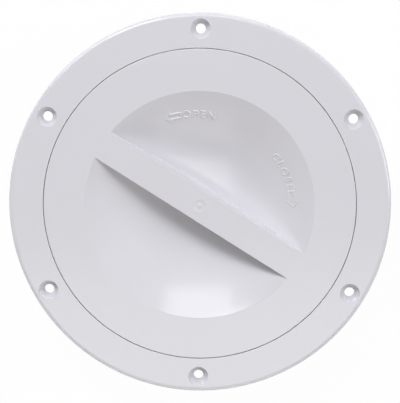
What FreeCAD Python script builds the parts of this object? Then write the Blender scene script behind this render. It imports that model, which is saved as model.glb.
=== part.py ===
import FreeCAD
import Part
import Sketcher
import math
import os

# A screw-in access hatch for a boat deck: a flanged ring with a coarse internal
# thread, a lid with a round bowl and a grip bar across it, and a seal between.
# Millimetres. Z is up, out of the deck. The origin is the centre of the flange's
# underside, on the deck's surface.

# Driving dimensions, each written once. Angles are in degrees.
DIMENSIONS = {
    # Nominal size: the way through the ring, inside its thread.
    "clear_opening": 150.0,
    # Coarse thread, the same on ring and lid.
    "thread_pitch": 6.0,
    "thread_turns": 1.5,
    "thread_height": 2.0,
    "thread_root_width": 3.2,
    "thread_crest_width": 1.8,
    "thread_clearance": 0.4,
    "thread_margin": 0.5,
    # Neck of the ring, which goes down through the deck.
    "neck_wall": 3.0,
    "neck_depth": 22.0,
    "neck_lead_chamfer": 1.0,
    # Flange of the ring, outwards from the lid's recess. Its outer edge has two bevels.
    "screw_inset": 10.0,
    "flange_margin": 8.5,
    "flange_thickness": 6.5,
    "flange_edge": 2.4,
    # Screw holes: a straight recess for the head, a countersink and the clear hole.
    "screw_count": 6,
    "screw_hole_diameter": 5.4,
    "countersink_diameter": 10.6,
    "countersink_angle": 90.0,
    "head_recess": 1.2,
    # Lid: a plate that overhangs the ring's bore, and a threaded skirt.
    "plate_overhang": 6.7,
    "plate_thickness": 2.8,
    "lid_gap": 0.3,
    "lid_edge_bevel": 0.5,
    "skirt_wall": 3.0,
    "skirt_lead_chamfer": 0.6,
    # Bowl in the lid and the grip bar across it.
    "bowl_diameter": 123.0,
    "bowl_depth": 16.0,
    "bar_width": 16.0,
    "bar_draft_angle": 4.0,
    "bar_turn_angle": 32.0,
    # Moulding gate at the middle of the bar.
    "gate_diameter": 7.0,
    "gate_depth": 0.4,
    "gate_nub_diameter": 2.4,
    # Rubber seal in the lid's groove, measured across its flats.
    "seal_section": 3.5,
    "seal_groove_depth": 0.6,
    "seal_clearance": 0.3,
}

# How far a tool shape reaches past the face it cuts, and a ridge into its wall.
OVERREACH = 3.0
EMBED = 0.6
# A slope at 45 degrees meets a level this many times further out than it stands off.
BEVEL_REACH = math.sqrt(2.0)
# Where such a slope cuts a square's sides, for half the square's width.
CORNER_LEFT = BEVEL_REACH - 1
# The two bevels of an edge meet this share of the edge's size from each face.
BEVEL_MEETING = 1 - math.sqrt(0.5)
# Which place of a sketch line or arc a constraint holds.
START, END, CENTRE = range(1, 4)


class Size:
    """A length known both as a number and as a formula on the sheet."""

    def __init__(self, value, formula):
        self.value = value
        self.formula = formula

    def _with(self, other, sign, value):
        text = other.formula if isinstance(other, Size) else str(other)
        return Size(value, f"({self.formula} {sign} {text})")

    def __add__(self, other):
        return self._with(other, "+", self.value + number(other))

    def __sub__(self, other):
        return self._with(other, "-", self.value - number(other))

    def __mul__(self, other):
        return self._with(other, "*", self.value * number(other))

    def __truediv__(self, other):
        return self._with(other, "/", self.value / number(other))

    def __neg__(self):
        return Size(-self.value, f"(0 - {self.formula})")


def number(item):
    return item.value if isinstance(item, Size) else item


def tangent(angle):
    return Size(math.tan(math.radians(angle.value)), f"tan({angle.formula})")


def cosine(angle):
    return Size(math.cos(math.radians(angle.value)), f"cos({angle.formula})")


def arc_radius(half_chord, rise):
    """Radius of the arc that rises this far between the ends of its chord."""
    return (half_chord * half_chord / rise + rise) / 2


doc = FreeCAD.newDocument("access_hatch")
sheet = doc.addObject("Spreadsheet::Sheet", "dims")
for row, (alias, amount) in enumerate(DIMENSIONS.items(), start=1):
    sheet.set(f"A{row}", alias)
    sheet.set(f"B{row}", str(amount))
    sheet.setAlias(f"B{row}", alias)
doc.recompute()

dim = {alias: Size(amount, f"dims.{alias}") for alias, amount in DIMENSIONS.items()}

# Fits worked out from the driving dimensions. Radii are from the hatch's axis.
AXIS = Size(0.0, "0")
ring_crest = dim["clear_opening"] / 2
bore_radius = ring_crest + dim["thread_height"]
neck_radius = bore_radius + dim["neck_wall"]
neck_end = -dim["neck_depth"]
skirt_radius = ring_crest - dim["thread_clearance"]
lid_crest = skirt_radius + dim["thread_height"]
skirt_inside = skirt_radius - dim["skirt_wall"]
lid_radius = bore_radius + dim["plate_overhang"]
recess_radius = lid_radius + dim["lid_gap"]
screw_circle_radius = recess_radius + dim["screw_inset"]
flange_radius = screw_circle_radius + dim["flange_margin"]
flange_top = dim["flange_thickness"]
seat_level = flange_top - dim["plate_thickness"]
above = flange_top + OVERREACH

# The seal lies under the lid's plate, around the skirt, and meets a bevel at the
# mouth of the ring's bore.
seal_half = dim["seal_section"] / 2
seal_standoff = seal_half + dim["seal_clearance"]
groove_radius = skirt_radius - dim["seal_groove_depth"]
seal_circle = groove_radius + seal_standoff
seal_level = seat_level - seal_standoff
groove_end = seal_level - seal_standoff
bevel_radius = seal_circle + seal_standoff * BEVEL_REACH + seal_standoff
bevel_end = seat_level - (bevel_radius - bore_radius)

# The thread starts at its lower end and stops short of the seal's groove.
half_ridge = dim["thread_root_width"] / 2
thread_rise = dim["thread_pitch"] * dim["thread_turns"]
thread_start = groove_end - dim["thread_margin"] - half_ridge - thread_rise
skirt_end = thread_start - half_ridge - dim["skirt_lead_chamfer"]

# The bowl is part of a sphere: its radius and centre follow from rim and depth.
bowl_radius = dim["bowl_diameter"] / 2
bowl_floor = flange_top - dim["bowl_depth"]
sphere_radius = arc_radius(bowl_radius, dim["bowl_depth"])
sphere_centre = bowl_floor + sphere_radius
shell_radius = sphere_radius + dim["plate_thickness"]
shell_floor = bowl_floor - dim["plate_thickness"]


def origin_part(body, role):
    for feature in body.Origin.OriginFeatures:
        if feature.Role == role:
            return feature
    raise ValueError(f"no origin part {role}")


def new_body(name):
    body = doc.addObject("PartDesign::Body", name)
    body.Label = name
    body.AllowCompound = True
    return body


def new_sketch(body, name, role):
    sketch = body.newObject("Sketcher::SketchObject", name)
    sketch.AttachmentSupport = (origin_part(body, role), [""])
    sketch.MapMode = "FlatFace"
    return sketch


def arc_between(start, end, middle):
    spread = [math.atan2(point[1] - middle[1], point[0] - middle[0]) for point in (start, end)]
    radius = math.dist(start, middle)
    centre = FreeCAD.Vector(*middle, 0)
    circle = Part.Circle(centre, FreeCAD.Vector(0, 0, 1), radius)
    return Part.ArcOfCircle(circle, spread[0], spread[1])


def draw_outline(sketch, corners, arcs=None):
    """Draw a closed outline with every corner bound to the sheet.

    Sides are straight, except those that start at a corner numbered in arcs, which
    gives the arc's middle. An arc turns anticlockwise round it to the next corner.
    """
    arcs = arcs or {}
    points = [(across.value, up.value) for across, up in corners]
    following = points[1:] + points[:1]
    for side, (start, end) in enumerate(zip(points, following)):
        if side in arcs:
            middle = tuple(place.value for place in arcs[side])
            sketch.addGeometry(arc_between(start, end, middle), False)
        else:
            ends = [FreeCAD.Vector(*point, 0) for point in (start, end)]
            sketch.addGeometry(Part.LineSegment(*ends), False)
    sides = list(range(len(points)))
    for side, neighbour in zip(sides, sides[1:] + sides[:1]):
        sketch.addConstraint(Sketcher.Constraint("Coincident", side, END, neighbour, START))
    for side, (across, up) in enumerate(corners):
        bind(sketch, "DistanceX", side, START, across)
        bind(sketch, "DistanceY", side, START, up)
    for side, (across, up) in arcs.items():
        level_chord = points[side][1] == following[side][1]
        if level_chord:
            bind(sketch, "DistanceY", side, CENTRE, up)
        else:
            bind(sketch, "DistanceX", side, CENTRE, across)


def bind(sketch, kind, side, place, size):
    """Hold one place of a side at a distance from the sketch's origin."""
    held = sketch.addConstraint(Sketcher.Constraint(kind, -1, START, side, place, size.value))
    sketch.setExpression(f"Constraints[{held}]", size.formula)


def revolve(body, sketch, name, axis="V_Axis"):
    solid = body.newObject("PartDesign::Revolution", name)
    solid.Profile = (sketch, [""])
    solid.ReferenceAxis = (sketch, [axis])
    solid.Angle = 360
    return solid


def add_thread(body, name, root_radius, crest_radius, side):
    """A coarse right-hand ridge on a wall. It starts on the +X side or the -X side."""
    into_wall = EMBED if root_radius.value > crest_radius.value else -EMBED
    half_crest = dim["thread_crest_width"] / 2
    corners = [
        ((root_radius + into_wall) * side, thread_start - half_ridge),
        (root_radius * side, thread_start - half_ridge),
        (crest_radius * side, thread_start - half_crest),
        (crest_radius * side, thread_start + half_crest),
        (root_radius * side, thread_start + half_ridge),
        ((root_radius + into_wall) * side, thread_start + half_ridge),
    ]
    sketch = new_sketch(body, name + "_profile", "XZ_Plane")
    draw_outline(sketch, corners)
    ridge = body.newObject("PartDesign::AdditiveHelix", name)
    ridge.Profile = (sketch, [""])
    ridge.ReferenceAxis = (sketch, ["V_Axis"])
    ridge.Mode = "pitch-turns-angle"
    ridge.LeftHanded = False
    ridge.setExpression("Pitch", dim["thread_pitch"].formula)
    ridge.setExpression("Turns", dim["thread_turns"].formula)
    return ridge


def make_deck_ring():
    """Flange, recess for the lid's plate, bevel for the seal, and threaded neck."""
    body = new_body("deck_ring")
    chamfer = dim["neck_lead_chamfer"]
    edge = dim["flange_edge"]
    corners = [
        (bore_radius, neck_end),
        (neck_radius - chamfer, neck_end),
        (neck_radius, neck_end + chamfer),
        (neck_radius, AXIS),
        (flange_radius, AXIS),
        (flange_radius, flange_top - edge),
        (flange_radius - edge * BEVEL_MEETING, flange_top - edge * BEVEL_MEETING),
        (flange_radius - edge, flange_top),
        (recess_radius, flange_top),
        (recess_radius, seat_level),
        (bevel_radius, seat_level),
        (bore_radius, bevel_end),
    ]
    sketch = new_sketch(body, "ring_section", "XZ_Plane")
    draw_outline(sketch, corners)
    revolve(body, sketch, "ring_turned")
    add_thread(body, "ring_thread", bore_radius, ring_crest, 1)
    add_screw_holes(body)
    return body


def add_screw_holes(body):
    """Countersunk holes round the flange, the first one on the +Y side."""
    hole_radius = dim["screw_hole_diameter"] / 2
    head_radius = dim["countersink_diameter"] / 2
    head_level = flange_top - dim["head_recess"]
    cone_depth = (head_radius - hole_radius) / tangent(dim["countersink_angle"] / 2)
    below = AXIS - OVERREACH
    corners = [
        (screw_circle_radius, above),
        (screw_circle_radius, below),
        (screw_circle_radius + hole_radius, below),
        (screw_circle_radius + hole_radius, head_level - cone_depth),
        (screw_circle_radius + head_radius, head_level),
        (screw_circle_radius + head_radius, above),
    ]
    sketch = new_sketch(body, "screw_hole_section", "YZ_Plane")
    draw_outline(sketch, corners)
    head, foot = [FreeCAD.Vector(across.value, up.value, 0) for across, up in corners[:2]]
    line = sketch.addGeometry(Part.LineSegment(head, foot), True)
    sketch.addConstraint(Sketcher.Constraint("Coincident", line, START, 0, START))
    sketch.addConstraint(Sketcher.Constraint("Coincident", line, END, 0, END))
    hole = body.newObject("PartDesign::Groove", "screw_hole")
    hole.Profile = (sketch, [""])
    hole.ReferenceAxis = (sketch, ["Axis0"])
    hole.Angle = 360
    doc.recompute()
    holes = body.newObject("PartDesign::PolarPattern", "screw_holes")
    holes.Originals = [hole]
    holes.Axis = (origin_part(body, "Z_Axis"), [""])
    holes.Angle = 360
    holes.setExpression("Occurrences", dim["screw_count"].formula)
    body.Tip = holes


def make_lid_plate():
    """The lid's plate, its skirt with the seal's groove and thread, and the gate mark."""
    body = new_body("lid_plate")
    edge = dim["lid_edge_bevel"]
    gate_radius = dim["gate_diameter"] / 2
    gate_floor = flange_top - dim["gate_depth"]
    nub_radius = dim["gate_nub_diameter"] / 2
    lead = dim["skirt_lead_chamfer"]
    corners = [
        (AXIS, seat_level),
        (skirt_inside, seat_level),
        (skirt_inside, skirt_end),
        (skirt_radius - lead, skirt_end),
        (skirt_radius, skirt_end + lead),
        (skirt_radius, groove_end),
        (groove_radius, groove_end),
        (groove_radius, seat_level),
        (lid_radius, seat_level),
        (lid_radius, flange_top - edge),
        (lid_radius - edge, flange_top),
        (gate_radius, flange_top),
        (gate_radius - dim["gate_depth"] * 2, gate_floor),
        (nub_radius, gate_floor),
        (nub_radius / 2, flange_top),
        (AXIS, flange_top),
    ]
    sketch = new_sketch(body, "lid_section", "XZ_Plane")
    draw_outline(sketch, corners)
    revolve(body, sketch, "lid_turned")
    add_thread(body, "lid_thread", skirt_radius, lid_crest, -1)
    return body


def turn_with_bar(body):
    """Turn a body about the hatch's axis to the bar's place with the lid shut."""
    clockwise = FreeCAD.Rotation(FreeCAD.Vector(0, 0, -1), dim["bar_turn_angle"].value)
    body.Placement = FreeCAD.Placement(FreeCAD.Vector(0, 0, 0), clockwise)
    body.setExpression(".Placement.Rotation.Angle", dim["bar_turn_angle"].formula)


def add_sphere(body, name, radius):
    """A sphere about the bowl's centre, turned about a line along the bar."""
    sketch = new_sketch(body, name + "_section", "XZ_Plane")
    sketch.AttachmentOffset = FreeCAD.Placement(
        FreeCAD.Vector(0, sphere_centre.value, 0), FreeCAD.Rotation())
    sketch.setExpression(".AttachmentOffset.Base.y", sphere_centre.formula)
    draw_outline(sketch, [(-radius, AXIS), (radius, AXIS)], {0: (AXIS, AXIS)})
    revolve(body, sketch, name, "H_Axis")


def wall_place(level):
    """Half the bar's width at a level: its sides slope out towards the bowl."""
    return dim["bar_width"] / 2 + (flange_top - level) * tangent(dim["bar_draft_angle"])


def draw_across_bar(body, name, bottom, top, wall=AXIS):
    """The bar's section between two levels, less a wall on each side."""
    foot, head = [wall_place(level) - wall for level in (bottom, top)]
    sketch = new_sketch(body, name, "YZ_Plane")
    draw_outline(sketch, [(-foot, bottom), (foot, bottom), (head, top), (-head, top)])
    return sketch


def cut_right_through(body, sketch, name):
    cut = body.newObject("PartDesign::Pocket", name)
    cut.Profile = (sketch, [""])
    cut.Type = "ThroughAll"
    cut.Midplane = True
    return cut


def make_bowl_shell():
    """The bowl's wall from below: part of a sphere, cut off inside the plate."""
    body = new_body("bowl_shell")
    add_sphere(body, "shell_outside", shell_radius)
    level = seat_level + EMBED
    reach = shell_radius + OVERREACH
    top = sphere_centre + reach
    sketch = new_sketch(body, "above_plate", "YZ_Plane")
    draw_outline(sketch, [(-reach, level), (reach, level), (reach, top), (-reach, top)])
    cut_right_through(body, sketch, "shell_cut_off")
    turn_with_bar(body)
    return body


def make_finger_pockets():
    """The two spaces beside the bar: a sphere less the bar that is left standing in it."""
    body = new_body("finger_pockets")
    add_sphere(body, "bowl_inside", sphere_radius)
    section = draw_across_bar(body, "bar_section", bowl_floor - OVERREACH, above + OVERREACH)
    cut_right_through(body, section, "bar_left_standing")
    turn_with_bar(body)
    return body


def make_bar_hollow():
    """The space under the bar, open at the back, which keeps one wall thickness."""
    body = new_body("bar_hollow")
    wall = dim["plate_thickness"] / cosine(dim["bar_draft_angle"])
    section = draw_across_bar(body, "channel_section", shell_floor - OVERREACH, seat_level, wall)
    hollow = body.newObject("PartDesign::Pad", "bar_channel")
    hollow.Profile = (section, [""])
    hollow.Midplane = True
    hollow.setExpression("Length", (dim["bowl_diameter"] + OVERREACH).formula)
    turn_with_bar(body)
    return body


def make_lid():
    blank = doc.addObject("Part::MultiFuse", "lid_blank")
    blank.Shapes = [make_lid_plate(), make_bowl_shell()]
    tools = doc.addObject("Part::MultiFuse", "lid_hollows")
    tools.Shapes = [make_finger_pockets(), make_bar_hollow()]
    lid = doc.addObject("Part::Cut", "lid")
    lid.Label = "lid"
    lid.Base = blank
    lid.Tool = tools
    return lid


def make_seal():
    """A moulded rubber ring, square in section, with a corner cut off for the ring's bevel."""
    body = new_body("seal_ring")
    cut = seal_half * CORNER_LEFT
    turns = [(-seal_half, -seal_half), (cut, -seal_half), (seal_half, -cut), (seal_half, seal_half),
             (-seal_half, seal_half)]
    sketch = new_sketch(body, "seal_outline", "XZ_Plane")
    draw_outline(sketch, [(seal_circle + across, seal_level + up) for across, up in turns])
    revolve(body, sketch, "seal_turned")
    return body


def stop_on_fault(pieces):
    for item in doc.Objects:
        if "Invalid" in item.State or "Error" in item.State:
            raise RuntimeError(f"{item.Label} failed: {item.State}")
    for piece in pieces:
        if piece.Shape.isNull() or not piece.Shape.isValid():
            raise RuntimeError(f"{piece.Label} has no valid shape")


pieces = [make_deck_ring(), make_lid(), make_seal()]
doc.recompute()
stop_on_fault(pieces)

os.makedirs("parts", exist_ok=True)
for piece in pieces:
    piece.Shape.exportStep(f"parts/{piece.Label}.step")
    box = piece.Shape.BoundBox
    print(piece.Label, len(piece.Shape.Solids), "solid(s)", round(piece.Shape.Volume / 1000, 2), "cm3",
          [round(side, 2) for side in (box.XMin, box.XMax, box.YMin, box.YMax, box.ZMin, box.ZMax)])
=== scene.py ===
import math

import bmesh
import bpy
from mathutils import Matrix, Vector


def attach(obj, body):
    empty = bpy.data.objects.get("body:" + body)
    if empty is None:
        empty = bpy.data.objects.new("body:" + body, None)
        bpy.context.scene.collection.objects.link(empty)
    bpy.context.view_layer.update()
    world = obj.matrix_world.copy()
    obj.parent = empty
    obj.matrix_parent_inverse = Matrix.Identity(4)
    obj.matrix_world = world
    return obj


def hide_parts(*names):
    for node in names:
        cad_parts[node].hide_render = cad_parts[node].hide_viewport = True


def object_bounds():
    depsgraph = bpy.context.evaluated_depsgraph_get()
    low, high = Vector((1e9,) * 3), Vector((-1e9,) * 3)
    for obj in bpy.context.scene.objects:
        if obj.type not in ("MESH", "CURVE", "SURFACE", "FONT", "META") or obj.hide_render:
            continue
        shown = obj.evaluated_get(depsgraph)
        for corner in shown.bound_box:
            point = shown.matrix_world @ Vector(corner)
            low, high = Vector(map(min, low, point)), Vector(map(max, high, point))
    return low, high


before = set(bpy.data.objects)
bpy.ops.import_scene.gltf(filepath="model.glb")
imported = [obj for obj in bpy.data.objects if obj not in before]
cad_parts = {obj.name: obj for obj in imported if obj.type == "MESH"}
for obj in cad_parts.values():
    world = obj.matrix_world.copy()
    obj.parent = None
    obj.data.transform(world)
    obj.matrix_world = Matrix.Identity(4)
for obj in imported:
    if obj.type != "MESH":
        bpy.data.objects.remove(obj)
cad_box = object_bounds()

# Sizes are millimetres in the hatch's own frame: Z up out of the deck, the origin at the
# centre of the flange's underside. Meshes are scaled to metres at the end.
METRE = 0.001

# The deck ring: its crest, bore and neck, the recess for the lid and the flange.
RING_CREST = 75.0
THREAD_HEIGHT = 2.0
BORE_RADIUS = RING_CREST + THREAD_HEIGHT
NECK_RADIUS = BORE_RADIUS + 3.0
NECK_DEPTH = 22.0
NECK_CHAMFER = 1.0
LID_RADIUS = BORE_RADIUS + 6.7
RECESS_RADIUS = LID_RADIUS + 0.3
SCREW_CIRCLE = RECESS_RADIUS + 10.0
FLANGE_RADIUS = SCREW_CIRCLE + 8.5
FLANGE_TOP = 6.5
FLANGE_ROUND = 2.4

# The lid: its plate, the skirt under it and the clearance of its thread.
PLATE = 2.8
SEAT_LEVEL = FLANGE_TOP - PLATE
SKIRT_RADIUS = RING_CREST - 0.4
SKIRT_INSIDE = SKIRT_RADIUS - 3.0
SKIRT_CHAMFER = 0.6
LID_CREST = SKIRT_RADIUS + THREAD_HEIGHT

# The seal, the groove in the lid's skirt and the bevel in the ring.
SEAL_HALF = 1.75
SEAL_ROUND = 0.25
SEAL_STANDOFF = SEAL_HALF + 0.3
GROOVE_RADIUS = SKIRT_RADIUS - 0.6
SEAL_CIRCLE = GROOVE_RADIUS + SEAL_STANDOFF
SEAL_LEVEL = SEAT_LEVEL - SEAL_STANDOFF
GROOVE_END = SEAL_LEVEL - SEAL_STANDOFF
BEVEL_RADIUS = SEAL_CIRCLE + SEAL_STANDOFF * (1 + math.sqrt(2))
BEVEL_END = SEAT_LEVEL - (BEVEL_RADIUS - BORE_RADIUS)

# The coarse thread, the same on ring and lid. Its ridge is buried a little in its wall.
THREAD_PITCH = 6.0
THREAD_TURNS = 1.5
THREAD_ROOT = 3.2
THREAD_CREST = 1.8
THREAD_BURIED = 0.5
THREAD_RUN_IN = 0.02
THREAD_STEPS = 360
THREAD_START = GROOVE_END - 0.5 - THREAD_ROOT / 2 - THREAD_PITCH * THREAD_TURNS
SKIRT_END = THREAD_START - THREAD_ROOT / 2 - 0.6

# The bowl, part of a sphere, and the grip bar across it.
BOWL_RADIUS = 61.5
BOWL_DEPTH = 16.0
BOWL_SPHERE = (BOWL_RADIUS ** 2 / BOWL_DEPTH + BOWL_DEPTH) / 2
BOWL_CENTRE = FLANGE_TOP - BOWL_DEPTH + BOWL_SPHERE
BOWL_RIM_ROUND = 0.9
SHELL_SPHERE = BOWL_SPHERE + PLATE
SHELL_RIM_ROUND = 1.0
BAR_HALF = 8.0
BAR_DRAFT = math.radians(4.0)
BAR_TURN = math.radians(-32.0)
BAR_EDGE_ROUND = 0.18
CHANNEL_EDGE_ROUND = 0.5

# The six screw holes, stepped and countersunk.
SCREW_COUNT = 6
SCREW_HOLE_RADIUS = 2.7
HEAD_RADIUS = 5.3
HEAD_RECESS = 1.2
HOLE_FOOT_BORDER = 0.45

# The shallow mark of the moulding gate in the middle of the bar, with its nub.
GATE_RADIUS = 3.5
GATE_DEPTH = 0.4
GATE_SLOPE = 1.3
GATE_ROUND = 1.5
GATE_BORDER = 0.8
NUB_RADIUS = 1.2
NUB_ROUND = 0.4
NUB_DROP = 0.1

# The small rounds of the mouldings' other edges.
CRISP_ROUND = 0.15
FINE_ROUND = 0.2
EDGE_ROUND = 0.3
SOFT_ROUND = 0.4
NECK_ROOT_ROUND = 0.8
SKIRT_ROOT_ROUND = 1.0

# The raised words: each has its turn from +X in degrees, the radius of its arc, its lean
# across the arc, and where its arrow starts and which way that points along the word.
WORDS = (
    ("OPEN", 90.8, 48.4, -0.07, (-9.6, -1)),
    ("CLOSE", 22.4, 48.7, 0.08, (11.4, 1)),
)
LETTER_HEIGHT = 5.6
LETTER_SPACING = 1.39
LETTER_RAISE = 0.28
LETTER_SINK = 0.08
LETTER_SPREAD = 0.35
ARROW_LENGTH = 9.0
ARROW_HEAD = 3.5
ARROW_HALF_HEAD = 3.1
ARROW_HALF_SHAFT = 1.65
ARROW_LINE = 0.6

# How finely the shapes are drawn. A narrow flat border beside each round keeps the flats even.
ROUND_SIDES = 288
HOLE_SIDES = 48
ROUND_STEP = math.radians(11)
FLAT_BORDER = 0.2
BAR_STATIONS = 120
EDGE_STEPS = 6
FLANK_STEPS = 4
BOWL_STEPS = 24
RIM_STEPS = 5
SHARP_ANGLE = math.radians(38)

# The finishes: each varies between two tones, a touch cool for the white plastic.
PLASTIC_DARKER = (0.664, 0.658, 0.688, 1.0)
PLASTIC_LIGHTER = (0.688, 0.682, 0.712, 1.0)
PLASTIC_ROUGHNESS = 0.12
PLASTIC_IOR = 1.5
RUBBER_DARKER = (0.016, 0.016, 0.017, 1.0)
RUBBER_LIGHTER = (0.036, 0.036, 0.037, 1.0)
RUBBER_ROUGHNESS = 0.62

# The studio's lamps, in metres and degrees: name, tilt from upright, turn from +X, width,
# height, brightness and tint. They stand beyond the hatch's +Y edge, its sides and its -Y edge.
LAMP_DISTANCE = 2.0
COOL = (0.985, 0.985, 1.02)
PLAIN = (1.0, 1.0, 1.0)
WARM = (1.05, 1.0, 0.93)
SOFT_BOXES = (
    ("key_soft_box", 39.0, 92.0, 1.02, 0.67, 3.75, COOL),
    ("window_lamp", 54.0, 113.2, 0.50, 0.50, 23.1, COOL),
    ("left_rear_lamp", 70.0, 132.0, 0.84, 0.84, 5.8, COOL),
    ("right_lamp", 66.0, 8.0, 0.84, 0.84, 7.4, COOL),
    ("right_high_lamp", 42.0, 0.0, 1.40, 1.40, 0.6, COOL),
    ("overhead_fill", 20.0, 270.0, 1.07, 0.57, 2.45, PLAIN),
    ("front_high_fill", 45.0, 270.0, 1.07, 0.60, 0.95, WARM),
    ("front_low_fill", 71.0, 270.0, 2.00, 0.50, 2.9, WARM),
    ("rim_fill", 84.0, 248.0, 2.40, 0.30, 3.5, PLAIN),
)

# The floor, in metres. The camera sees it nearly white, with a little of the shadow left.
FLOOR_REACH = 4.0
FLOOR_DROP = 0.0002
FLOOR_SHADE = (0.86, 0.86, 0.86, 1.0)
FLOOR_GLOW_SHARE = 0.97
WHITE = (1.0, 1.0, 1.0, 1.0)

# The camera, in metres and degrees, nearly straight above the hatch. Its lens is written as
# a focal length in pixels of the photograph, on Blender's own 36 mm sensor.
CAMERA_PLACE = (0.01655, 0.10694, 0.7269)
CAMERA_TURN = (-8.25, 1.35, 0.39)
SENSOR_WIDTH = 36.0
FOCAL_PIXELS = 1361.6
PHOTO_LONG_SIDE = 403


class Skin:
    """Collects points and faces, and closes them into one solid skin."""

    def __init__(self):
        self.points = []
        self.faces = []
        self.openings = {}

    def row(self, points):
        """Add points and return their numbers."""
        first = len(self.points)
        self.points.extend(points)
        return list(range(first, len(self.points)))

    def band(self, lower, upper, closed=True):
        """Faces between two rows. Where a point repeats, a face folds down to a triangle."""
        count = len(lower)
        for index in range(count if closed else count - 1):
            following = (index + 1) % count
            corners = (lower[index], lower[following], upper[following], upper[index])
            face = []
            for corner in corners:
                if corner not in face:
                    face.append(corner)
            if len(face) > 2:
                self.faces.append(face)

    def turned(self, outline, sides, middle=(0.0, 0.0)):
        """Turn an outline of (radius, level) about an upright line. Returns its end rows."""
        angles = [2 * math.pi * index / sides for index in range(sides)]
        rows = []
        for radius, level in outline:
            if radius < 1e-6:
                rows.append(self.row([(middle[0], middle[1], level)]) * sides)
            else:
                rows.append(self.row([(middle[0] + radius * math.cos(angle),
                                       middle[1] + radius * math.sin(angle), level)
                                      for angle in angles]))
        for lower, upper in zip(rows, rows[1:]):
            self.band(lower, upper)
        return rows[0], rows[-1]

    def open_flat(self, name, loop):
        """Keep a closed loop, to be filled later with the others of the same flat."""
        self.openings.setdefault(name, []).append(loop)

    def finish(self, name):
        """Fill the flats between their loops and return the skin as a mesh in metres."""
        mesh = bpy.data.meshes.new(name)
        work = bmesh.new()
        verts = [work.verts.new(Vector(point) * METRE) for point in self.points]
        for face in self.faces:
            work.faces.new([verts[index] for index in face])
        for loops in self.openings.values():
            edges = []
            for loop in loops:
                for start, end in zip(loop, loop[1:] + loop[:1]):
                    pair = [verts[start], verts[end]]
                    edges.append(work.edges.get(pair) or work.edges.new(pair))
            bmesh.ops.triangle_fill(work, use_beauty=True, use_dissolve=False, edges=edges,
                                    normal=(0.0, 0.0, 1.0))
        bmesh.ops.remove_doubles(work, verts=work.verts, dist=2e-6)
        bmesh.ops.dissolve_degenerate(work, dist=1e-6, edges=work.edges)
        bmesh.ops.recalc_face_normals(work, faces=work.faces)
        work.to_mesh(mesh)
        work.free()
        return mesh


def rounded(corners):
    """An outline of (across, up), or (across, up, round), with the rounds drawn in."""
    outline = []
    for index, corner in enumerate(corners):
        if len(corner) == 2:
            outline.append(corner)
            continue
        here = Vector(corner[:2])
        back = (Vector(corners[index - 1][:2]) - here).normalized()
        ahead = (Vector(corners[(index + 1) % len(corners)][:2]) - here).normalized()
        half = back.angle(ahead) / 2
        reach = corner[2] / math.tan(half)
        middle = here + (back + ahead).normalized() * corner[2] / math.sin(half)
        start = here + back * reach - middle
        turn = start.angle_signed(here + ahead * reach - middle)
        steps = max(3, round(abs(turn) / ROUND_STEP))
        for step in range(steps + 1):
            angle = -turn * step / steps
            point = middle + Vector((start.x * math.cos(angle) - start.y * math.sin(angle),
                                     start.x * math.sin(angle) + start.y * math.cos(angle)))
            outline.append(tuple(point))
    return outline


def furthest_station(room, reach):
    """The furthest place along the bar that still has room, found by halving."""
    near, far = 0.0, reach - 0.01
    for _ in range(40):
        middle = (near + far) / 2
        near, far = (middle, far) if room(middle) > 0.02 else (near, middle)
    return near


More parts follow.
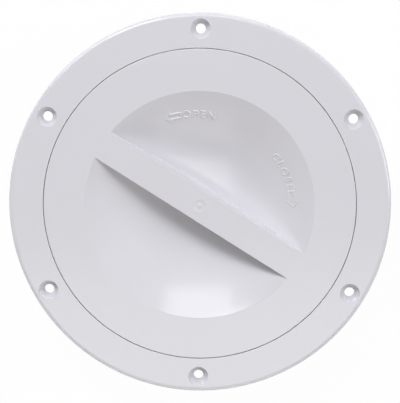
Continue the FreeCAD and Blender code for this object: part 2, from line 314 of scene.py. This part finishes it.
def hollow_beside_bar(skin, level, half_width, sphere, edge_round, rim_round, side):
    """One hollow of the lid: the bar's flank, the sphere it meets in a corner, and the rim.

    It is drawn in stations along the bar. The loop that it returns is the hollow's opening
    in the flat that it sinks from. Side is 1 or -1, for the two sides of the bar.
    """
    across = Vector((math.cos(BAR_DRAFT), math.sin(BAR_DRAFT)))
    down = Vector((math.sin(BAR_DRAFT), -math.cos(BAR_DRAFT)))
    top_edge = Vector((half_width, level))
    centre = Vector((0.0, BOWL_CENTRE))
    offset = (top_edge - centre).dot(across)
    start_down = (top_edge - centre).dot(down)
    edge_turn = math.pi / 2 - BAR_DRAFT
    rim_level = level - rim_round
    rim_out = math.sqrt((sphere + rim_round) ** 2 - (BOWL_CENTRE - rim_level) ** 2)
    rim_middle = Vector((rim_out, rim_level))
    rim_in = centre + (rim_middle - centre) * sphere / (sphere + rim_round)
    rim_lean = (rim_in - rim_middle).angle(Vector((0.0, 1.0)))

    def flank(x):
        """The flank's points at one station, the corner at its foot and the sphere's ring."""
        ring = math.sqrt(sphere ** 2 - x ** 2)
        corner_down = math.sqrt(ring ** 2 - offset ** 2)
        corner = centre + across * offset + down * corner_down
        edge = min(edge_round, 0.4 * max(corner_down - start_down, 0.0))
        reach = edge * math.tan(edge_turn / 2)
        points = []
        for step in range(EDGE_STEPS + 1):
            angle = edge_turn * step / EDGE_STEPS
            points.append((half_width - reach + edge * math.sin(angle),
                           level - edge + edge * math.cos(angle)))
        top = top_edge + down * reach
        for step in range(1, FLANK_STEPS + 1):
            points.append(tuple(top.lerp(corner, step / FLANK_STEPS)))
        return points, corner, ring

    def room(x):
        """How far the flank's foot stays inside the rim at one station."""
        return math.sqrt(max(rim_in.x ** 2 - x ** 2, 0.0)) - flank(x)[1].x

    def station(x):
        """The whole section at one station: down the flank, along the sphere, over the rim."""
        points, corner, ring = flank(x)
        column = [(x, y, z) for y, z in points]
        end_y = math.sqrt(rim_in.x ** 2 - x ** 2)
        start_angle = math.asin(corner.x / ring)
        end_angle = math.asin(min(end_y / ring, 1.0))
        for step in range(1, BOWL_STEPS + 1):
            angle = start_angle + (end_angle - start_angle) * step / BOWL_STEPS
            column.append((x, ring * math.sin(angle), BOWL_CENTRE - ring * math.cos(angle)))
        for step in range(1, RIM_STEPS + 1):
            angle = rim_lean * (1 - step / RIM_STEPS)
            radius = rim_out - rim_round * math.sin(angle)
            z = rim_level + rim_round * math.cos(angle)
            column.append((x * radius / rim_in.x, end_y * radius / rim_in.x, z))
        return column

    last = furthest_station(room, rim_in.x)
    turn = Matrix.Rotation(BAR_TURN + (math.pi if side < 0 else 0.0), 3, "Z")
    rows = []
    for index in range(BAR_STATIONS + 1):
        x = last * math.sin(math.pi / 2 * (2 * index / BAR_STATIONS - 1))
        rows.append(skin.row([turn @ Vector(point) for point in station(x)]))
    for earlier, later in zip(rows, rows[1:]):
        skin.band(earlier, later, closed=False)
    tip = math.sqrt(rim_out ** 2 - half_width ** 2)
    tips = []
    for column, x in ((rows[0], -tip), (rows[-1], tip)):
        point = skin.row([turn @ Vector((x, half_width, level))])
        skin.band(column, point * len(column), closed=False)
        tips.append(point[0])
    return [row[0] for row in rows] + [tips[1]] + [row[-1] for row in reversed(rows)] + [tips[0]]


def screw_hole(skin, middle):
    """A stepped and countersunk hole through the flange."""
    cone_end = FLANGE_TOP - HEAD_RECESS - (HEAD_RADIUS - SCREW_HOLE_RADIUS)
    head, end = skin.turned(rounded([
        (HEAD_RADIUS + CRISP_ROUND + FLAT_BORDER, FLANGE_TOP),
        (HEAD_RADIUS, FLANGE_TOP, CRISP_ROUND),
        (HEAD_RADIUS, FLANGE_TOP - HEAD_RECESS, FINE_ROUND),
        (SCREW_HOLE_RADIUS, cone_end, FINE_ROUND),
        (SCREW_HOLE_RADIUS, 0.0, CRISP_ROUND),
        (SCREW_HOLE_RADIUS + HOLE_FOOT_BORDER, 0.0),
    ]), HOLE_SIDES, middle)
    skin.open_flat("top", head)
    skin.open_flat("underside", end)


def make_deck_ring():
    skin = Skin()
    outside, foot = skin.turned(rounded([
        (FLANGE_RADIUS - FLANGE_ROUND - FLAT_BORDER, FLANGE_TOP),
        (FLANGE_RADIUS, FLANGE_TOP, FLANGE_ROUND),
        (FLANGE_RADIUS, 0.0, EDGE_ROUND),
        (FLANGE_RADIUS - EDGE_ROUND - FLAT_BORDER, 0.0),
    ]), ROUND_SIDES)
    under, mouth = skin.turned(rounded([
        (NECK_RADIUS + NECK_ROOT_ROUND + FLAT_BORDER, 0.0),
        (NECK_RADIUS, 0.0, NECK_ROOT_ROUND),
        (NECK_RADIUS, NECK_CHAMFER - NECK_DEPTH, SOFT_ROUND),
        (NECK_RADIUS - NECK_CHAMFER, -NECK_DEPTH, SOFT_ROUND),
        (BORE_RADIUS, -NECK_DEPTH, EDGE_ROUND),
        (BORE_RADIUS, BEVEL_END, EDGE_ROUND),
        (BEVEL_RADIUS, SEAT_LEVEL, EDGE_ROUND),
        (RECESS_RADIUS, SEAT_LEVEL, EDGE_ROUND),
        (RECESS_RADIUS, FLANGE_TOP, FINE_ROUND),
        (RECESS_RADIUS + FINE_ROUND + FLAT_BORDER, FLANGE_TOP),
    ]), ROUND_SIDES)
    skin.open_flat("top", outside)
    skin.open_flat("top", mouth)
    skin.open_flat("underside", foot)
    skin.open_flat("underside", under)
    for index in range(SCREW_COUNT):
        angle = math.pi / 2 + 2 * math.pi * index / SCREW_COUNT
        screw_hole(skin, (SCREW_CIRCLE * math.cos(angle), SCREW_CIRCLE * math.sin(angle)))
    return skin.finish("deck_ring_skin")


def make_lid():
    skin = Skin()
    edge, under = skin.turned(rounded([
        (LID_RADIUS - SOFT_ROUND - FLAT_BORDER, FLANGE_TOP),
        (LID_RADIUS, FLANGE_TOP, SOFT_ROUND),
        (LID_RADIUS, SEAT_LEVEL, EDGE_ROUND),
        (GROOVE_RADIUS, SEAT_LEVEL, FINE_ROUND),
        (GROOVE_RADIUS, GROOVE_END, FINE_ROUND),
        (SKIRT_RADIUS, GROOVE_END, CRISP_ROUND),
        (SKIRT_RADIUS, SKIRT_END + SKIRT_CHAMFER, FINE_ROUND),
        (SKIRT_RADIUS - SKIRT_CHAMFER, SKIRT_END, FINE_ROUND),
        (SKIRT_INSIDE, SKIRT_END, SOFT_ROUND),
        (SKIRT_INSIDE, SEAT_LEVEL, SKIRT_ROOT_ROUND),
        (SKIRT_INSIDE - SKIRT_ROOT_ROUND - FLAT_BORDER, SEAT_LEVEL),
    ]), ROUND_SIDES)
    skin.open_flat("top", edge)
    skin.open_flat("underside", under)
    gate, _ = skin.turned(rounded([
        (GATE_RADIUS + GATE_BORDER, FLANGE_TOP),
        (GATE_RADIUS, FLANGE_TOP, GATE_ROUND),
        (GATE_RADIUS - GATE_SLOPE, FLANGE_TOP - GATE_DEPTH, GATE_ROUND),
        (NUB_RADIUS, FLANGE_TOP - GATE_DEPTH, NUB_ROUND),
        (NUB_RADIUS * 0.5, FLANGE_TOP - NUB_DROP, NUB_ROUND),
        (0.0, FLANGE_TOP - NUB_DROP),
    ]), HOLE_SIDES)
    skin.open_flat("top", gate)
    for side in (1, -1):
        skin.open_flat("top", hollow_beside_bar(
            skin, FLANGE_TOP, BAR_HALF, BOWL_SPHERE, BAR_EDGE_ROUND, BOWL_RIM_ROUND, side))
    wall = PLATE / math.cos(BAR_DRAFT)
    channel_half = BAR_HALF + PLATE * math.tan(BAR_DRAFT) - wall
    for side in (1, -1):
        skin.open_flat("underside", hollow_beside_bar(
            skin, SEAT_LEVEL, channel_half, SHELL_SPHERE, CHANNEL_EDGE_ROUND, SHELL_RIM_ROUND,
            side))
    return skin.finish("lid_skin")


def make_seal():
    """A square ring of rubber with one corner cut off, to lie along the ring's bevel."""
    skin = Skin()
    half = SEAL_HALF
    cut = half * (math.sqrt(2) - 1)
    corners = [(-half, -half), (cut, -half), (half, -cut), (half, half), (-half, half)]
    placed = [(SEAL_CIRCLE + across, SEAL_LEVEL + up, SEAL_ROUND) for across, up in corners]
    first, last = skin.turned(rounded(placed), ROUND_SIDES)
    skin.band(last, first)
    return skin.finish("seal_skin")


class Wire:
    """A number in a node tree, with sums written as plain expressions."""

    def __init__(self, tree, socket):
        self.tree = tree
        self.socket = socket

    def _sum(self, operation, first, second=None):
        node = self.tree.nodes.new("ShaderNodeMath")
        node.operation = operation
        for slot, item in zip(node.inputs, (first, second)):
            if isinstance(item, Wire):
                self.tree.links.new(item.socket, slot)
            elif item is not None:
                slot.default_value = item
        return Wire(self.tree, node.outputs[0])

    def __add__(self, other):
        return self._sum("ADD", self, other)

    __radd__ = __add__

    def __sub__(self, other):
        return self._sum("SUBTRACT", self, other)

    def __rsub__(self, other):
        return self._sum("SUBTRACT", other, self)

    def __mul__(self, other):
        return self._sum("MULTIPLY", self, other)

    __rmul__ = __mul__

    def __truediv__(self, other):
        return self._sum("DIVIDE", self, other)

    def __rtruediv__(self, other):
        return self._sum("DIVIDE", other, self)

    def sine(self):
        return self._sum("SINE", self)

    def cosine(self):
        return self._sum("COSINE", self)

    def root(self):
        return self._sum("SQRT", self)

    def floored(self):
        return self._sum("FLOOR", self)

    def above(self, other):
        return self._sum("GREATER_THAN", self, other)

    def least(self, other):
        return self._sum("MINIMUM", self, other)

    def most(self, other):
        return self._sum("MAXIMUM", self, other)


class Tree:
    """Makes the nodes of one tree."""

    def __init__(self, tree):
        self.tree = tree

    def node(self, kind, settings=None, **sockets):
        """A node with its settings made first, then its sockets filled.

        A socket is given by its name, with _ for a space, or by its place, such as _0.
        """
        node = self.tree.nodes.new(kind)
        for key, value in (settings or {}).items():
            setattr(node, key, value)
        for key, value in sockets.items():
            by_place = key[1:].isdigit()
            slot = node.inputs[int(key[1:]) if by_place else key.replace("_", " ")]
            source = value.socket if isinstance(value, Wire) else value
            if isinstance(source, bpy.types.NodeSocket):
                self.tree.links.new(source, slot)
            else:
                slot.default_value = source
        return node

    def joined(self, *sockets):
        """Several geometries in one, in the order given."""
        join = self.node("GeometryNodeJoinGeometry")
        for socket in sockets:
            self.tree.links.new(socket, join.inputs[0])
        return join.outputs[0]

    def number(self, socket):
        return Wire(self.tree, socket)

    def noise(self, place, scale, detail, roughness=0.5):
        texture = self.node("ShaderNodeTexNoise", Vector=place, Scale=scale, Detail=detail,
                            Roughness=roughness)
        return self.number(texture.outputs[0])


def new_tree(name, numbers, texts=()):
    """A geometry tree with named inputs, a size for each."""
    group = bpy.data.node_groups.new(name, "GeometryNodeTree")
    group.interface.new_socket("Geometry", in_out="INPUT", socket_type="NodeSocketGeometry")
    for text in texts:
        group.interface.new_socket(text, in_out="INPUT", socket_type="NodeSocketString")
    for number in numbers:
        group.interface.new_socket(number, in_out="INPUT", socket_type="NodeSocketFloat")
    group.interface.new_socket("Finish", in_out="INPUT", socket_type="NodeSocketMaterial")
    group.interface.new_socket("Geometry", in_out="OUTPUT", socket_type="NodeSocketGeometry")
    tree = Tree(group)
    entry = tree.node("NodeGroupInput")
    return group, tree, {slot.name: slot for slot in entry.outputs if slot.name}


def close_tree(tree, group, geometry, finish):
    """End a geometry tree with its instances made real and its finish set."""
    real = tree.node("GeometryNodeRealizeInstances", Geometry=geometry)
    dressed = tree.node("GeometryNodeSetMaterial", Geometry=real.outputs[0], Material=finish)
    tree.node("NodeGroupOutput", Geometry=dressed.outputs[0])
    return group


def grow(name, group, values, start=None):
    """Run a geometry tree on an object and return the result as a plain mesh."""
    data = start or bpy.data.meshes.new(name + "_start")
    holder = bpy.data.objects.new(name + "_maker", data)
    bpy.context.scene.collection.objects.link(holder)
    run = holder.modifiers.new(name, "NODES")
    run.node_group = group
    for item in group.interface.items_tree:
        if item.in_out == "INPUT" and item.name in values:
            run[item.identifier] = values[item.name]
    graph = bpy.context.evaluated_depsgraph_get()
    mesh = bpy.data.meshes.new_from_object(holder.evaluated_get(graph))
    holder.modifiers.remove(run)
    bpy.data.objects.remove(holder)
    return mesh


def thread_tree():
    """A coarse thread's ridge: four corners carried up a helix, dying into the wall at its ends.

    Each row of the grid has five points: the four corners, and the first once more.
    """
    names = ("Wall Radius", "Crest Radius", "Root Width", "Crest Width", "Pitch", "Turns",
             "Start Level", "Start Angle", "Run In")
    group, tree, given = new_tree("coarse_thread", names)
    value = {name: tree.number(given[name]) for name in names}
    grid = tree.node("GeometryNodeMeshGrid", Size_X=1.0, Size_Y=4.0, Vertices_X=THREAD_STEPS,
                     Vertices_Y=5)
    place = tree.node("GeometryNodeInputPosition")
    apart = tree.node("ShaderNodeSeparateXYZ", Vector=place.outputs[0])
    along = tree.number(apart.outputs[0]) + 0.5
    corner = (tree.number(apart.outputs[1]) + 2.5).floored()
    at_crest = corner.above(0.5) * (1 - corner.above(2.5))
    is_upper = corner.above(1.5) * (1 - corner.above(3.5))
    end = along.least(1 - along) * value["Turns"] / value["Run In"]
    risen = end.least(1.0).most(0.0)
    width = value["Root Width"] * (1 - at_crest) + value["Crest Width"] * at_crest
    half = width * 0.5 * risen
    climb = value["Start Level"] + along * value["Turns"] * value["Pitch"]
    level = climb + half * (is_upper * 2 - 1)
    height = (value["Crest Radius"] - value["Wall Radius"]) * at_crest * risen
    radius = value["Wall Radius"] + height
    angle = value["Start Angle"] + along * value["Turns"] * (2 * math.pi)
    spot = tree.node("ShaderNodeCombineXYZ", X=radius * angle.cosine(), Y=radius * angle.sine(),
                     Z=level)
    moved = tree.node("GeometryNodeSetPosition", Geometry=grid.outputs[0],
                      Position=spot.outputs[0])
    merged = tree.node("GeometryNodeMergeByDistance", Geometry=moved.outputs[0], Distance=0.002)
    return close_tree(tree, group, merged.outputs[0], given["Finish"])


def make_thread(name, tree, wall_radius, crest_radius, start_angle, finish):
    return grow(name, tree, {
        "Wall Radius": wall_radius, "Crest Radius": crest_radius, "Root Width": THREAD_ROOT,
        "Crest Width": THREAD_CREST, "Pitch": THREAD_PITCH, "Turns": THREAD_TURNS,
        "Start Level": THREAD_START, "Start Angle": start_angle, "Run In": THREAD_RUN_IN,
        "Finish": finish})


def bowl_words_tree():
    """Raised words and an arrow, bent round the hatch's axis and laid on the bowl's sphere."""
    names = ("Letter Height", "Spacing", "Arc Radius", "Middle Angle", "Lean", "Sphere Radius",
             "Centre Level", "Raise", "Sink")
    group, tree, given = new_tree("bowl_words", names, ("Words",))
    value = {name: tree.number(given[name]) for name in names}
    text = tree.node("GeometryNodeStringToCurves", {"align_x": "CENTER", "align_y": "MIDDLE"},
                     String=given["Words"], Size=given["Letter Height"],
                     Character_Spacing=given["Spacing"])
    letters = tree.node("GeometryNodeRealizeInstances", Geometry=text.outputs[0])
    outlines = tree.joined(letters.outputs[0], given["Geometry"])
    flat = tree.node("GeometryNodeFillCurve", {"mode": "TRIANGLES"}, Curve=outlines)
    lifted = tree.node("GeometryNodeExtrudeMesh", {"mode": "FACES"}, Mesh=flat.outputs[0],
                       Offset_Scale=1.0, Individual=False)
    back = tree.node("GeometryNodeFlipFaces", Mesh=flat.outputs[0])
    whole = tree.joined(lifted.outputs[0], back.outputs[0])
    closed = tree.node("GeometryNodeMergeByDistance", Geometry=whole, Distance=0.0001)
    place = tree.node("GeometryNodeInputPosition")
    apart = tree.node("ShaderNodeSeparateXYZ", Vector=place.outputs[0])
    x, y, lift = [tree.number(slot) for slot in apart.outputs]
    out = value["Arc Radius"] + y + x * value["Lean"]
    angle = value["Middle Angle"] - x / value["Arc Radius"]
    sphere = value["Sphere Radius"]
    height = lift * (value["Raise"] + value["Sink"]) - value["Sink"]
    share = (sphere - height) / sphere
    level = value["Centre Level"] - (sphere * sphere - out * out).root() * share
    spot = tree.node("ShaderNodeCombineXYZ", X=out * share * angle.cosine(),
                     Y=out * share * angle.sine(), Z=level)
    moved = tree.node("GeometryNodeSetPosition", Geometry=closed.outputs[0],
                      Position=spot.outputs[0])
    return close_tree(tree, group, moved.outputs[0], given["Finish"])


def arrow_outline(length, start, way):
    """A hollow arrow lying flat, as a curve with two closed lines. Its way along X is 1 or -1."""
    line = ARROW_LINE
    neck = length - ARROW_HEAD
    outer = [(0.0, -ARROW_HALF_SHAFT), (neck, -ARROW_HALF_SHAFT), (neck, -ARROW_HALF_HEAD),
             (length, 0.0), (neck, ARROW_HALF_HEAD), (neck, ARROW_HALF_SHAFT),
             (0.0, ARROW_HALF_SHAFT)]
    inner_shaft = ARROW_HALF_SHAFT - line
    inner_head = ARROW_HALF_HEAD - line * 1.9
    inner_tip = length - line * 1.35 * 1.5
    inner = [(line, -inner_shaft), (neck + line, -inner_shaft), (neck + line, -inner_head),
             (inner_tip, 0.0), (neck + line, inner_head), (neck + line, inner_shaft),
             (line, inner_shaft)]
    curve = bpy.data.curves.new("arrow_outline", "CURVE")
    curve.dimensions = "2D"
    curve.fill_mode = "NONE"
    for corners in (outer, inner):
        spline = curve.splines.new("POLY")
        spline.points.add(len(corners) - 1)
        for point, (x, y) in zip(spline.points, corners):
            point.co = (start + x * way, y, 0.0, 1.0)
        spline.use_cyclic_u = True
    return curve


def spread_feet(mesh, spread):
    """Lean the letters' walls: the rim that is sunk in the bowl moves out by the spread."""
    work = bmesh.new()
    work.from_mesh(mesh)
    bmesh.ops.recalc_face_normals(work, faces=work.faces)
    centre = Vector((0.0, 0.0, BOWL_CENTRE))
    sunk = {vert for vert in work.verts if (vert.co - centre).length > BOWL_SPHERE}
    moves = []
    for vert in sunk:
        walls = [face.normal for face in vert.link_faces if not sunk.issuperset(face.verts)]
        if walls:
            outward = sum(walls, Vector()).normalized()
            moves.append((vert, outward * spread / max(outward.dot(walls[0]), 0.5)))
    for vert, move in moves:
        vert.co += move
    work.to_mesh(mesh)
    work.free()
    return mesh


def make_words(finish):
    """The raised words with their arrows, one mesh each."""
    tree = bowl_words_tree()
    meshes = []
    for word, turn, radius, lean, arrow in WORDS:
        mesh = grow(word.lower() + "_words", tree, {
            "Words": word, "Letter Height": LETTER_HEIGHT, "Spacing": LETTER_SPACING,
            "Arc Radius": radius, "Middle Angle": math.radians(turn), "Lean": lean,
            "Sphere Radius": BOWL_SPHERE, "Centre Level": BOWL_CENTRE, "Raise": LETTER_RAISE,
            "Sink": LETTER_SINK, "Finish": finish}, arrow_outline(ARROW_LENGTH, *arrow))
        meshes.append(spread_feet(mesh, LETTER_SPREAD))
    return meshes


def scaled(mesh):
    mesh.transform(Matrix.Scale(METRE, 4))
    return mesh


def assemble(name, meshes, finish, body, node):
    """One piece from several meshes, smooth but for its sharp edges."""
    work = bmesh.new()
    for mesh in meshes:
        work.from_mesh(mesh)
    bmesh.ops.recalc_face_normals(work, faces=work.faces)
    mesh = bpy.data.meshes.new(name)
    work.to_mesh(mesh)
    work.free()
    for polygon in mesh.polygons:
        polygon.use_smooth = True
        polygon.material_index = 0
    mesh.set_sharp_from_angle(angle=SHARP_ANGLE)
    mesh.materials.clear()
    mesh.materials.append(finish)
    piece = bpy.data.objects.new(name, mesh)
    bpy.context.scene.collection.objects.link(piece)
    weights = piece.modifiers.new("even_flats", "WEIGHTED_NORMAL")
    weights.keep_sharp = True
    weights.weight = 60
    graph = bpy.context.evaluated_depsgraph_get()
    evened = bpy.data.meshes.new_from_object(piece.evaluated_get(graph))
    piece.modifiers.remove(weights)
    piece.data = evened
    evened.name = name
    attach(piece, body)
    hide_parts(node)


def new_finish(name):
    """An empty material, with the tree that its nodes go in."""
    finish = bpy.data.materials.new(name)
    finish.use_nodes = True
    finish.node_tree.nodes.clear()
    return finish, Tree(finish.node_tree)


def moulded_plastic(name, seed):
    """Semi-gloss white moulding: a faint grain, and a slow mottling of its tone and gloss."""
    finish, tree = new_finish(name)
    place = tree.node("ShaderNodeTexCoord").outputs["Object"]
    shifted = tree.node("ShaderNodeMapping", Vector=place, Location=(seed, seed * 0.7, 0.0))
    slow = tree.noise(shifted.outputs[0], 18.0, 3.0, 0.55)
    cloud = tree.noise(shifted.outputs[0], 140.0, 4.0, 0.6)
    grain = tree.noise(shifted.outputs[0], 2600.0, 2.0)
    tone = tree.node("ShaderNodeMix", {"data_type": "RGBA"}, Factor=(slow * 0.7 + cloud * 0.3),
                     _6=PLASTIC_DARKER, _7=PLASTIC_LIGHTER)
    bump = tree.node("ShaderNodeBump", Strength=0.16, Distance=0.00012,
                     Height=(grain * 0.5 + cloud * 0.9))
    shader = tree.node("ShaderNodeBsdfPrincipled", Base_Color=tone.outputs[2],
                       Roughness=(PLASTIC_ROUGHNESS + slow * 0.04 + cloud * 0.03),
                       IOR=PLASTIC_IOR, Normal=bump.outputs[0])
    tree.node("ShaderNodeOutputMaterial", Surface=shader.outputs[0])
    return finish


def seal_rubber():
    """Matt black rubber with a slight bloom and a fine grain."""
    finish, tree = new_finish("seal_rubber")
    place = tree.node("ShaderNodeTexCoord").outputs["Object"]
    bloom = tree.noise(place, 60.0, 4.0)
    grain = tree.noise(place, 1800.0, 2.0)
    tone = tree.node("ShaderNodeMix", {"data_type": "RGBA"}, Factor=bloom, _6=RUBBER_DARKER,
                     _7=RUBBER_LIGHTER)
    bump = tree.node("ShaderNodeBump", Strength=0.3, Distance=0.0001, Height=grain)
    shader = tree.node("ShaderNodeBsdfPrincipled", Base_Color=tone.outputs[2],
                       Roughness=(RUBBER_ROUGHNESS + bloom * 0.2), Normal=bump.outputs[0])
    tree.node("ShaderNodeOutputMaterial", Surface=shader.outputs[0])
    return finish


def build():
    lid_finish = moulded_plastic("lid_plastic", 3.1)
    ring_finish = moulded_plastic("ring_plastic", 7.7)
    rubber = seal_rubber()
    threads = thread_tree()
    ring_ridge = make_thread("ring_thread", threads, BORE_RADIUS + THREAD_BURIED, RING_CREST, 0.0,
                             ring_finish)
    lid_ridge = make_thread("lid_thread", threads, SKIRT_RADIUS - THREAD_BURIED, LID_CREST,
                            math.pi, lid_finish)
    words = [scaled(mesh) for mesh in make_words(lid_finish)]
    assemble("deck_ring_moulding", [make_deck_ring(), scaled(ring_ridge)], ring_finish,
             "ring", "deck_ring")
    assemble("lid_moulding", [make_lid(), scaled(lid_ridge)] + words, lid_finish,
             "cover", "lid")
    assemble("rubber_seal", [make_seal()], rubber, "seal", "seal_ring")


def soft_box(name, tilt, turn, width, height, brightness, tint):
    """A rectangle of even light that faces the hatch."""
    lamp = bpy.data.lights.new(name, "AREA")
    lamp.shape = "RECTANGLE"
    lamp.size = width
    lamp.size_y = height
    lamp.color = tint
    lamp.energy = math.pi * width * height * brightness
    holder = bpy.data.objects.new(name, lamp)
    tilt = math.radians(tilt)
    turn = math.radians(turn)
    holder.location = LAMP_DISTANCE * Vector((math.sin(tilt) * math.cos(turn),
                                              math.sin(tilt) * math.sin(turn), math.cos(tilt)))
    holder.rotation_euler = (-holder.location).to_track_quat("-Z", "Y").to_euler()
    bpy.context.scene.collection.objects.link(holder)


def seen_directly(tree):
    """1 for the camera and for what gloss and glass show, and 0 for light on the object."""
    path = tree.node("ShaderNodeLightPath")
    camera, gloss, glass = [tree.number(path.outputs[name]) for name in (
        "Is Camera Ray", "Is Glossy Ray", "Is Transmission Ray")]
    return camera.most(gloss).most(glass)


def pale_floor():
    """A white floor that keeps the hatch's shadow."""
    mesh = bpy.data.meshes.new("studio_floor")
    level = cad_box[0][2] - FLOOR_DROP
    corners = [(x * FLOOR_REACH, y * FLOOR_REACH, level)
               for x, y in ((-1, -1), (1, -1), (1, 1), (-1, 1))]
    mesh.from_pydata(corners, [], [(0, 1, 2, 3)])
    floor = bpy.data.objects.new("studio_floor", mesh)
    bpy.context.scene.collection.objects.link(floor)
    finish, tree = new_finish("studio_white")
    matt = tree.node("ShaderNodeBsdfDiffuse", Color=FLOOR_SHADE)
    glow = tree.node("ShaderNodeEmission", Color=WHITE, Strength=1.0)
    blend = tree.node("ShaderNodeMixShader", _0=(seen_directly(tree) * FLOOR_GLOW_SHARE),
                      _1=matt.outputs[0], _2=glow.outputs[0])
    tree.node("ShaderNodeOutputMaterial", Surface=blend.outputs[0])
    mesh.materials.append(finish)


def studio():
    """The plain pale room, its lamps and the camera at the photograph's angle."""
    scene = bpy.context.scene
    scene.view_settings.view_transform = "Standard"
    world = bpy.data.worlds.new("studio")
    scene.world = world
    world.use_nodes = True
    world.node_tree.nodes.clear()
    tree = Tree(world.node_tree)
    sky = tree.node("ShaderNodeBackground", Color=WHITE, Strength=seen_directly(tree))
    tree.node("ShaderNodeOutputWorld", Surface=sky.outputs[0])
    pale_floor()
    for lamp in SOFT_BOXES:
        soft_box(*lamp)
    lens = bpy.data.cameras.new("camera")
    lens.lens = SENSOR_WIDTH * FOCAL_PIXELS / PHOTO_LONG_SIDE
    camera = bpy.data.objects.new("camera", lens)
    camera.location = CAMERA_PLACE
    camera.rotation_euler = [math.radians(angle) for angle in CAMERA_TURN]
    scene.collection.objects.link(camera)
    scene.camera = camera


build()
studio()
